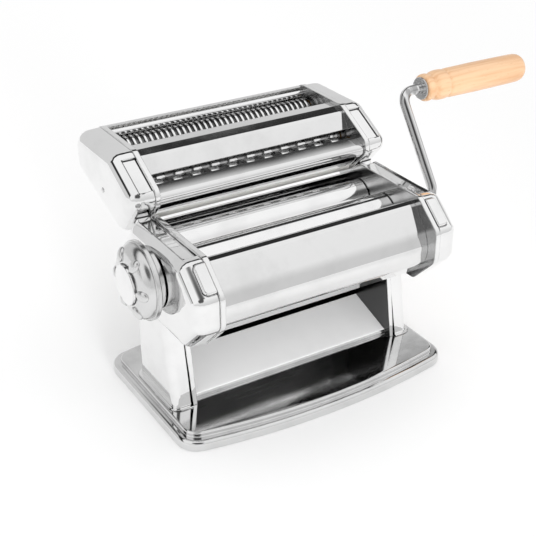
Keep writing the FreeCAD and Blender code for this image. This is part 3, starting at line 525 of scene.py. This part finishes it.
def smoothCopy(nodeName, finish, edge):
    work = weldedNode(nodeName)
    mesh = bpy.data.meshes.new(pieceName(nodeName))
    work.to_mesh(mesh)
    work.free()
    piece = linkPiece(pieceName(nodeName), mesh)
    if edge:
        bevel = piece.modifiers.new("edge", "BEVEL")
        bevel.width = edge
        bevel.segments = meshing["bevelSegments"]
        bevel.limit_method = "ANGLE"
        bevel.angle_limit = math.radians(meshing["bevelFrom"])
        bevel.use_clamp_overlap = False
        bevel.miter_outer = "MITER_ARC"
    mesh = bake(piece)
    mesh.materials.clear()
    mesh.materials.append(finish)
    if nodeName in otherFaces:
        other, looks = otherFaces[nodeName]
        mesh.materials.append(finishes[other])
        for face in mesh.polygons:
            face.material_index = int(face.normal.dot(Vector(looks)) > meshing["looksWithin"])
    mesh.shade_smooth()
    mesh.set_sharp_from_angle(angle=math.radians(meshing["sharpFrom"]))
    weighted = piece.modifiers.new("flats", "WEIGHTED_NORMAL")
    weighted.keep_sharp = True
    weighted.weight = meshing["flatWeight"]
    bake(piece)
    return piece


def standFor(piece, nodeName):
    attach(piece, nodeBody[nodeName])
    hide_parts(nodeName)


for nodeName, (finish, edge) in dressed.items():
    standFor(smoothCopy(nodeName, finishes[finish], edge), nodeName)
for nodeName, finish in kept.items():
    slots = nodes[nodeName].data.materials
    slots.clear()
    slots.append(finishes[finish])
print("pieces dressed:", len(dressed), "kept:", len(kept))

whole = "NodeSocketInt"
number = "NodeSocketFloat"
vector = "NodeSocketVector"


def newGrowth(name, inputs):
    tree = bpy.data.node_groups.new(name, "GeometryNodeTree")
    tree.interface.new_socket("Geometry", in_out="INPUT", socket_type="NodeSocketGeometry")
    for key, kind in inputs.items():
        tree.interface.new_socket(key, in_out="INPUT", socket_type=kind)
    tree.interface.new_socket("Geometry", in_out="OUTPUT", socket_type="NodeSocketGeometry")
    net = NodeNet(tree)
    return tree, net, net.node("NodeGroupInput")


def closeGrowth(net, shape, finish):
    smooth = net.out(net.node("GeometryNodeSetShadeSmooth", None, {"Geometry": shape}))
    real = net.out(net.node("GeometryNodeRealizeInstances", None, {"Geometry": smooth}))
    coated = net.out(net.node("GeometryNodeSetMaterial", None, {"Geometry": real, "Material": finish}))
    net.node("NodeGroupOutput", None, {"Geometry": coated})


def growPiece(name, mesh, tree, values, body):
    piece = linkPiece(name, mesh)
    grow = piece.modifiers.new("grow", "NODES")
    grow.node_group = tree
    for item in tree.interface.items_tree:
        if item.item_type == "SOCKET" and item.in_out == "INPUT" and item.name in values:
            grow[item.identifier] = values[item.name]
    bake(piece)
    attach(piece, body)


def circlePoint(centre, along, radius, i, turns):
    # point i of a circle about a line along x
    angle = 2 * math.pi * i / turns
    return (along, centre[1] + radius * math.cos(angle), centre[2] + radius * math.sin(angle))


def middleOf(low, high):
    return [(first + last) / 2 for first, last in zip(low, high)]


# metres; first is the middle of the first disc of the front shaft
lands = {
    "fine": {"count": 36, "strip": 0.0020, "edge": 0.00045, "first": -0.071},
    "wide": {"count": 11, "strip": 0.0065, "edge": 0.0005, "first": -0.068250},
    "play": 0.0003, "depth": 0.0010, "proud": 0.00015, "overlap": 0.00006, "rimPoints": 56, "edgePoints": 2,
}


def turnedLands(spec):
    # one polished ring on the rim of each cutter disc, repeated along the shaft
    tree, net, source = newGrowth("turnedLands", {
        "Count": whole, "Pitch": number, "Radius": number, "Width": number, "Depth": number,
        "Edge": number, "First": vector})
    middle = net.out(source, "Radius") - net.out(source, "Depth") / 2
    rim = net.out(net.node("GeometryNodeCurvePrimitiveCircle", {"mode": "RADIUS"}, {
        "Resolution": spec["rimPoints"], "Radius": middle}))
    section = net.out(net.node("GeometryNodeCurvePrimitiveQuadrilateral", {"mode": "RECTANGLE"}, {
        "Width": net.out(source, "Depth"), "Height": net.out(source, "Width")}))
    section = net.out(net.node("GeometryNodeFilletCurve", {"mode": "POLY"}, {
        "Curve": section, "Count": spec["edgePoints"], "Radius": net.out(source, "Edge")}))
    ring = net.out(net.node("GeometryNodeCurveToMesh", None, {"Curve": rim, "Profile Curve": section}))
    ring = net.out(net.node("GeometryNodeTransform", None, {
        "Geometry": ring, "Rotation": (0.0, math.pi / 2, 0.0)}))
    step = net.out(net.node("ShaderNodeCombineXYZ", None, {"X": net.out(source, "Pitch")}))
    places = net.out(net.node("GeometryNodeMeshLine", {"mode": "OFFSET"}, {
        "Count": net.out(source, "Count"), "Start Location": net.out(source, "First"), "Offset": step}))
    rings = net.out(net.node("GeometryNodeInstanceOnPoints", None, {"Points": places, "Instance": ring}))
    closeGrowth(net, rings, finishes["land"])
    return tree


def addLands(spec):
    tree = turnedLands(spec)
    for kind in ("fine", "wide"):
        own = spec[kind]
        for shaft, shift in (("front", 0.0), ("rear", own["strip"])):
            nodeName = kind + "_" + shaft + "_cutter"
            low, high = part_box(nodeName)
            middle = middleOf(low, high)
            radius = (high[2] - low[2]) / 2
            growPiece(pieceName(nodeName) + "Lands", bpy.data.meshes.new("places"), tree, {
                "Count": own["count"], "Pitch": own["strip"] * 2, "Radius": radius + spec["proud"],
                "Width": own["strip"] - spec["play"] + spec["overlap"], "Depth": spec["depth"],
                "Edge": own["edge"], "First": (own["first"] + shift, middle[1], middle[2]),
            }, nodeBody[nodeName])


# metres and degrees; hemReach is how far below the top of a sheet its hem may lie
creases = {
    "covers": {
        "frame": ("left_cover", "right_cover"),
        "cutter": ("cutter_left_cover", "cutter_right_cover"),
    },
    "thickness": 0.0011, "foldFrom": 25.0, "rimWithin": 2e-5, "sectionPoints": 8,
    "hemNode": "cutter_front_plate", "hemThickness": 0.0013, "hemReach": 0.0012, "hemLength": 0.05,
}


def creaseShadeLines(spec):
    # a fine near-black line that follows the edges it is given: painted shade in creases, along the hem and
    # round the knob's cap
    tree, net, source = newGrowth("creaseShadeLines", {"Thickness": number})
    path = net.out(net.node("GeometryNodeMeshToCurve", None, {"Mesh": net.out(source, "Geometry")}))
    section = net.out(net.node("GeometryNodeCurvePrimitiveCircle", {"mode": "RADIUS"}, {
        "Resolution": spec["sectionPoints"], "Radius": net.out(source, "Thickness") / 2}))
    line = net.out(net.node("GeometryNodeCurveToMesh", None, {
        "Curve": path, "Profile Curve": section, "Fill Caps": True}))
    closeGrowth(net, line, finishes["seam"])
    return tree


def creaseEdges(nodeName, spec):
    # sunk folds on the outside of a cover, apart from those on its inner rim
    work = weldedNode(nodeName)
    low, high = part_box(nodeName)
    middle = middleOf(low, high)
    rim = min(abs(low[0]), abs(high[0]))
    folds = []
    for edge in work.edges:
        if len(edge.link_faces) != 2:
            continue
        if all(abs(abs(vert.co.x) - rim) < spec["rimWithin"] for vert in edge.verts):
            continue
        large = max(edge.link_faces, key=lambda face: face.calc_area())
        centre = large.calc_center_median()
        away = Vector((0.0, centre.y - middle[1], centre.z - middle[2])).dot(large.normal)
        sunk = edge.calc_face_angle_signed(0.0) < -math.radians(spec["foldFrom"])
        if sunk and away > 0.0:
            folds.append([vert.co.copy() for vert in edge.verts])
    work.free()
    return folds


def hemEdges(nodeName, spec):
    # the long edges along the top of a sheet
    work = weldedNode(nodeName)
    top = max(vert.co.z for vert in work.verts)
    hem = []
    for edge in work.edges:
        first, last = edge.verts[0].co, edge.verts[1].co
        if abs(first.x - last.x) > spec["hemLength"] and min(first.z, last.z) > top - spec["hemReach"]:
            hem.append([first.copy(), last.copy()])
    work.free()
    return hem


def pathMesh(points, links):
    mesh = bpy.data.meshes.new("path")
    mesh.from_pydata(points, links, [])
    work = bmesh.new()
    work.from_mesh(mesh)
    bmesh.ops.remove_doubles(work, verts=work.verts, dist=meshing["weld"])
    work.to_mesh(mesh)
    work.free()
    return mesh


def pairsMesh(pairs):
    points = [point for pair in pairs for point in pair]
    return pathMesh(points, [(2 * i, 2 * i + 1) for i in range(len(pairs))])


# near-black lines in the covers' folds and along the top of the cutter's front sheet: painted shade
def addCreases(spec, tree):
    for body, covers in spec["covers"].items():
        folds = [fold for nodeName in covers for fold in creaseEdges(nodeName, spec)]
        growPiece(body + "Creases", pairsMesh(folds), tree, {"Thickness": spec["thickness"]},
                  body)
        print("creases on", body + ":", len(folds))
    hem = hemEdges(spec["hemNode"], spec)
    growPiece("cutterHem", pairsMesh(hem), tree, {"Thickness": spec["hemThickness"]},
              "cutter")
    print("hem lines:", len(hem))


# metres; places are y and z on the end faces of the cutter unit
rivets = {"radius": 0.0017, "height": 0.0007, "segments": 20, "rings": 10, "places": [(0.0533, 0.1305)]}


def rivetHeads(spec):
    # low domed heads on the points it is given
    tree, net, source = newGrowth("rivetHeads", {"Radius": number, "Height": number})
    ball = net.out(net.node("GeometryNodeMeshUVSphere", None, {
        "Segments": spec["segments"], "Rings": spec["rings"], "Radius": 1.0}))
    flat = net.out(net.node("ShaderNodeCombineXYZ", None, {
        "X": net.out(source, "Height"), "Y": net.out(source, "Radius"), "Z": net.out(source, "Radius")}))
    head = net.out(net.node("GeometryNodeTransform", None, {"Geometry": ball, "Scale": flat}))
    heads = net.out(net.node("GeometryNodeInstanceOnPoints", None, {
        "Points": net.out(source, "Geometry"), "Instance": head}))
    closeGrowth(net, heads, finishes["knob"])
    return tree


def addRivets(spec):
    points = []
    for nodeName, end in (("cutter_left_cover", 0), ("cutter_right_cover", 1)):
        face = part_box(nodeName)[end][0]
        points.extend((face, y, z) for y, z in spec["places"])
    growPiece("cutterRivets", pathMesh(points, []), rivetHeads(spec), {
        "Radius": spec["radius"], "Height": spec["height"]}, "cutter")


def lathe(name, profile, centre, turns):
    # profile of (outward, radius) turned about a line along x; outward is towards -x
    points = []
    rings = []
    for outward, radius in profile:
        along = centre[0] - outward
        count = turns if radius else 1  # the ends close on the line
        ring = [len(points) + i % count for i in range(turns)]
        points.extend(circlePoint(centre, along, radius, i, turns) for i in range(count))
        rings.append(ring)
    faces = []
    for first, last in zip(rings, rings[1:]):
        for i in range(turns):
            j = (i + 1) % turns
            corners = list(dict.fromkeys((first[i], first[j], last[j], last[i])))
            if len(corners) > 2:
                faces.append(corners)
    mesh = bpy.data.meshes.new(name)
    mesh.from_pydata(points, [], faces)
    work = bmesh.new()
    work.from_mesh(mesh)
    bmesh.ops.recalc_face_normals(work, faces=work.faces)
    work.to_mesh(mesh)
    work.free()
    return mesh


def addTurned(nodeName, profile, centre, finish, spec):
    name = pieceName(nodeName)
    mesh = lathe(name, profile, centre, spec["turns"])
    mesh.materials.append(finish)
    mesh.shade_smooth()
    mesh.set_sharp_from_angle(angle=math.radians(spec["sharpFrom"]))
    standFor(linkPiece(name, mesh), nodeName)


# metres, with heights from the back of the grip; angles in degrees
knob = {
    "collar": 0.019, "back": -0.0045, "grip": 0.0245, "lip": 0.0005, "skirt": 0.0034, "dome": 0.011,
    "shoulder": 0.0232, "face": 0.013, "arcSteps": 10, "turns": 72, "sharpFrom": 38.0,
    "pads": 6, "padPlace": 0.0178, "padLift": 0.0099, "padSize": (0.0046, 0.0034, 0.0020), "padSlope": 24.0,
    "padTurn": 30.0, "padSegments": 32, "padRings": 16, "capLine": 0.0008,
}


def gripPads(spec):
    # round-ended pads, evenly spaced round the dome
    tree, net, source = newGrowth("gripPads", {
        "Count": whole, "Place": number, "Lift": number, "Slope": number, "Turn": number,
        "Size": vector, "Centre": vector})
    ball = net.out(net.node("GeometryNodeMeshUVSphere", None, {
        "Segments": spec["padSegments"], "Rings": spec["padRings"], "Radius": 1.0}))
    tilt = net.out(net.node("ShaderNodeCombineXYZ", None, {"Y": net.out(source, "Slope")}))
    spot = net.out(net.node("ShaderNodeCombineXYZ", None, {
        "X": net.out(source, "Place"), "Z": net.out(source, "Lift")}))
    pad = net.out(net.node("GeometryNodeTransform", None, {
        "Geometry": ball, "Translation": spot, "Rotation": tilt, "Scale": net.out(source, "Size")}))
    hub = net.out(net.node("GeometryNodeMeshLine", {"mode": "OFFSET"}, {
        "Count": net.out(source, "Count"), "Offset": (0.0, 0.0, 0.0)}))
    index = net.out(net.node("GeometryNodeInputIndex"))
    share = index / net.out(source, "Count") * (2 * math.pi) + net.out(source, "Turn")
    spin = net.out(net.node("ShaderNodeCombineXYZ", None, {"Z": share}))
    pads = net.out(net.node("GeometryNodeInstanceOnPoints", None, {
        "Points": hub, "Instance": pad, "Rotation": spin}))
    placed = net.out(net.node("GeometryNodeTransform", None, {
        "Geometry": pads, "Translation": net.out(source, "Centre"), "Rotation": (0.0, -math.pi / 2, 0.0)}))
    closeGrowth(net, placed, finishes["knob"])
    return tree


def knobProfile(spec):
    # collar, then the grip's skirt with its eased edges, then a quarter ellipse up to the face
    lip = spec["lip"]
    profile = [
        (spec["back"], 0.0), (spec["back"], spec["collar"]), (0.0, spec["collar"]),
        (0.0, spec["grip"] - lip), (lip, spec["grip"]), (spec["skirt"] - lip, spec["grip"]),
        (spec["skirt"], spec["grip"] - lip), (spec["skirt"], spec["shoulder"])]
    for i in range(spec["arcSteps"] + 1):
        turn = math.pi / 2 * i / spec["arcSteps"]
        profile.append((spec["skirt"] + (spec["dome"] - spec["skirt"]) * math.sin(turn),
                        spec["face"] + (spec["shoulder"] - spec["face"]) * math.cos(turn)))
    profile.append((spec["dome"], 0.0))
    return profile


def addKnob(spec, tree):
    low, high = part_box("thickness_knob")
    middle = middleOf(low, high)
    centre = (low[0] + spec["dome"], middle[1], middle[2])
    body = nodeBody["thickness_knob"]
    addTurned("thickness_knob", knobProfile(spec), centre, finishes["knob"], spec)
    growPiece("knobPads", bpy.data.meshes.new("pads"), gripPads(spec), {
        "Count": spec["pads"], "Place": spec["padPlace"], "Lift": spec["padLift"], "Size": spec["padSize"],
        "Slope": math.radians(spec["padSlope"]), "Turn": math.radians(spec["padTurn"]), "Centre": centre,
    }, body)
    # a near-black ring round the cap's edge: painted shade
    capLow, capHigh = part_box("knob_cap")
    capRadius = (capHigh[2] - capLow[2]) / 2
    turns = spec["turns"]
    circle = [circlePoint(centre, capHigh[0], capRadius, i, turns) for i in range(turns)]
    links = [(i, (i + 1) % turns) for i in range(turns)]
    growPiece("knobCapLine", pathMesh(circle, links), tree, {"Thickness": spec["capLine"]}, body)


# metres along the handle from its inner end, and radius there
handleTurning = {
    "bore": [(0.0620, 0.0), (0.0620, 0.0039), (0.0, 0.0039)],
    "bead": [(0.0, 0.0084), (0.0003, 0.0089), (0.0009, 0.0093), (0.0018, 0.0095), (0.0034, 0.0095),
             (0.0048, 0.0092), (0.0058, 0.0086), (0.0066, 0.0082), (0.0074, 0.0085), (0.0083, 0.0092)],
    "ring": [(0.0096, 0.0099), (0.0115, 0.0103), (0.0140, 0.0104), (0.0165, 0.01035), (0.0177, 0.0101),
             (0.0185, 0.0095), (0.0191, 0.0094), (0.0198, 0.0098), (0.0211, 0.01015)],
    "grip": [(0.0300, 0.01025), (0.0445, 0.0104), (0.0650, 0.0103), (0.0800, 0.01015), (0.0840, 0.0100),
             (0.0862, 0.0095), (0.0877, 0.0085), (0.0886, 0.0070), (0.0890, 0.0048), (0.0890, 0.0)],
    "turns": 72, "sharpFrom": 50.0,
}


def addHandle(spec):
    low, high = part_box("wooden_handle")
    middle = middleOf(low, high)
    profile = [(-along, radius) for key in ("bore", "bead", "ring", "grip") for along, radius in spec[key]]
    addTurned("wooden_handle", profile, (low[0], middle[1], middle[2]), finishes["beech"], spec)


shadeLineTree = creaseShadeLines(creases)
addLands(lands)
addCreases(creases, shadeLineTree)
addRivets(rivets)
addKnob(knob, shadeLineTree)
addHandle(handleTurning)
print("repeated and turned details made")

# degrees from overhead, front is positive; levels are of a white room
studio = {
    "light": 1.0, "rearWall": 0.72, "gapBack": -49.0, "gapFront": -28.0, "gapSoft": 2.0, "gapLevel": 0.03,
    "frontFrom": 30.0, "frontTo": 92.0, "frontLevel": 0.72,
    "cardAim": (-0.35, -0.62, 0.70), "cardInner": 15.0, "cardOuter": 27.0, "cardLevel": 0.10,
}
paleFloor = {"colour": 0.985, "paler": 0.995, "mottleNoise": (3.0, 2.0, 0.5), "rough": 0.9, "size": 6.0}
frontFill = {
    "place": (-0.10, -0.75, 0.11), "aim": (0.0, 0.0, 0.045), "size": (0.5, 0.12),
    "spread": 24.0, "power": 0.3,
}
photoView = {
    "place": (-0.32757, -0.52275, 0.411), "azimuth": 31.5, "drop": 28.7, "sensor": 36.0, "lens": 72.87,
}


def makeFloor(spec):
    material, net = newFinish("paleFloor")
    mottle = net.noise(net.place(), *spec["mottleNoise"])
    net.surface({
        "Base Color": net.blend(mottle, grey(spec["colour"]), grey(spec["paler"])),
        "Roughness": spec["rough"],
        "Specular IOR Level": 0.0,
    })
    mesh = bpy.data.meshes.new("floor")
    half = spec["size"] / 2
    corners = [(-half, -half, 0.0), (half, -half, 0.0), (half, half, 0.0), (-half, half, 0.0)]
    mesh.from_pydata(corners, [], [(0, 1, 2, 3)])
    mesh.materials.append(material)
    linkPiece("floor", mesh)


def makeWorld(spec):
    # white room: overhead light, a dark gap behind it, a greyer rear wall and a dark card by the camera
    world = bpy.data.worlds.new("studio")
    scene.world = world
    world.use_nodes = True
    net = NodeNet(world.node_tree)
    direction = net.out(net.node("ShaderNodeTexCoord"), "Generated")
    depth, height = net.axes(direction)[1:]
    lean = net.math("ARCTAN2", 0.0 - depth, height) * (180.0 / math.pi)
    soft = spec["gapSoft"]
    pastRear = net.ease(lean, spec["gapBack"] - soft, spec["gapBack"] + soft)
    gap = pastRear * net.ease(lean, spec["gapFront"] - soft, spec["gapFront"] + soft, 1.0, 0.0)
    rear = spec["rearWall"] + pastRear * (1.0 - spec["rearWall"])
    front = net.ease(lean, spec["frontFrom"], spec["frontTo"], 1.0, spec["frontLevel"])
    facing = net.dot(direction, Vector(spec["cardAim"]).normalized())
    outer = math.cos(math.radians(spec["cardOuter"]))
    inner = math.cos(math.radians(spec["cardInner"]))
    card = net.ease(facing, outer, inner)
    gapShade = 1.0 - gap * (1.0 - spec["gapLevel"])
    cardShade = 1.0 - card * (1.0 - spec["cardLevel"])
    room = rear * front * gapShade * cardShade
    rays = net.node("ShaderNodeLightPath")
    seen = net.out(rays, "Is Camera Ray")
    glossy = net.out(rays, "Is Glossy Ray")
    strength = seen + (1.0 - seen) * (glossy * room + (1.0 - glossy)) * spec["light"]
    shade = net.node("ShaderNodeBackground", None, {"Color": grey(1.0), "Strength": strength})
    net.node("ShaderNodeOutputWorld", None, {"Surface": net.out(shade)})


def turnTowards(aim):
    return aim.to_track_quat("-Z", "Y").to_euler()


def makeFill(spec):
    # soft low light that reaches in under the hood
    lamp = bpy.data.lights.new("frontFill", "AREA")
    lamp.shape = "RECTANGLE"
    lamp.size, lamp.size_y = spec["size"]
    lamp.energy = spec["power"]
    lamp.spread = math.radians(spec["spread"])
    fill = bpy.data.objects.new("frontFill", lamp)
    fill.location = spec["place"]
    fill.rotation_euler = turnTowards(Vector(spec["aim"]) - Vector(spec["place"]))
    fill.visible_camera = False
    fill.visible_glossy = False
    scene.collection.objects.link(fill)


def makeCamera(spec):
    azimuth = math.radians(spec["azimuth"])
    drop = math.radians(spec["drop"])
    level = math.cos(drop)
    camera = bpy.data.objects.new("camera", bpy.data.cameras.new("camera"))
    camera.data.sensor_width = spec["sensor"]
    camera.data.lens = spec["lens"]
    camera.location = spec["place"]
    camera.rotation_euler = turnTowards(
        Vector((math.sin(azimuth) * level, math.cos(azimuth) * level, -math.sin(drop))))
    scene.collection.objects.link(camera)
    scene.camera = camera


makeFloor(paleFloor)
makeWorld(studio)
makeFill(frontFill)
makeCamera(photoView)
print("studio ready")
